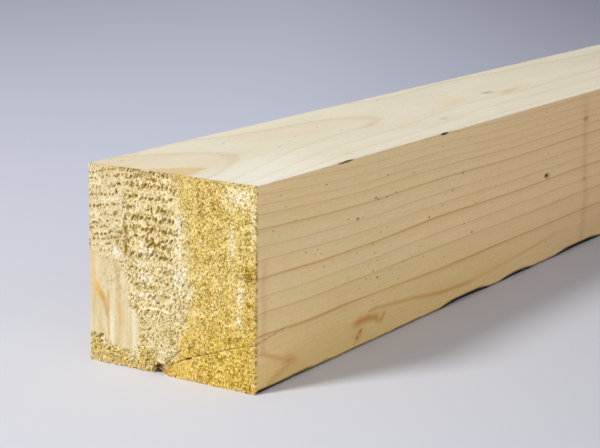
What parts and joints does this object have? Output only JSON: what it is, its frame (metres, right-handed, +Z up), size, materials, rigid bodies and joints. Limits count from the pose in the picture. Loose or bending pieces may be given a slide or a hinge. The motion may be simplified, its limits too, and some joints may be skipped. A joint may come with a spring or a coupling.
{
  "type": "square-sawn timber",
  "caption": "Length of square-sawn softwood timber with a torn, fibrous end, a drying check from the pith, a spike knot and lightly bruised arrises.",
  "frame": {"origin": "middle of the footprint, on the floor", "axes": "+X to the stick's right face, +Y along the stick to its plain sawn end, +Z up"},
  "size_m": [0.1, 1.8, 0.1],
  "materials": {
    "softwood": "rough sawn, unfinished"
  },
  "bodies": {
    "root": {"square_timber": "softwood"}
  },
  "joints": []
}
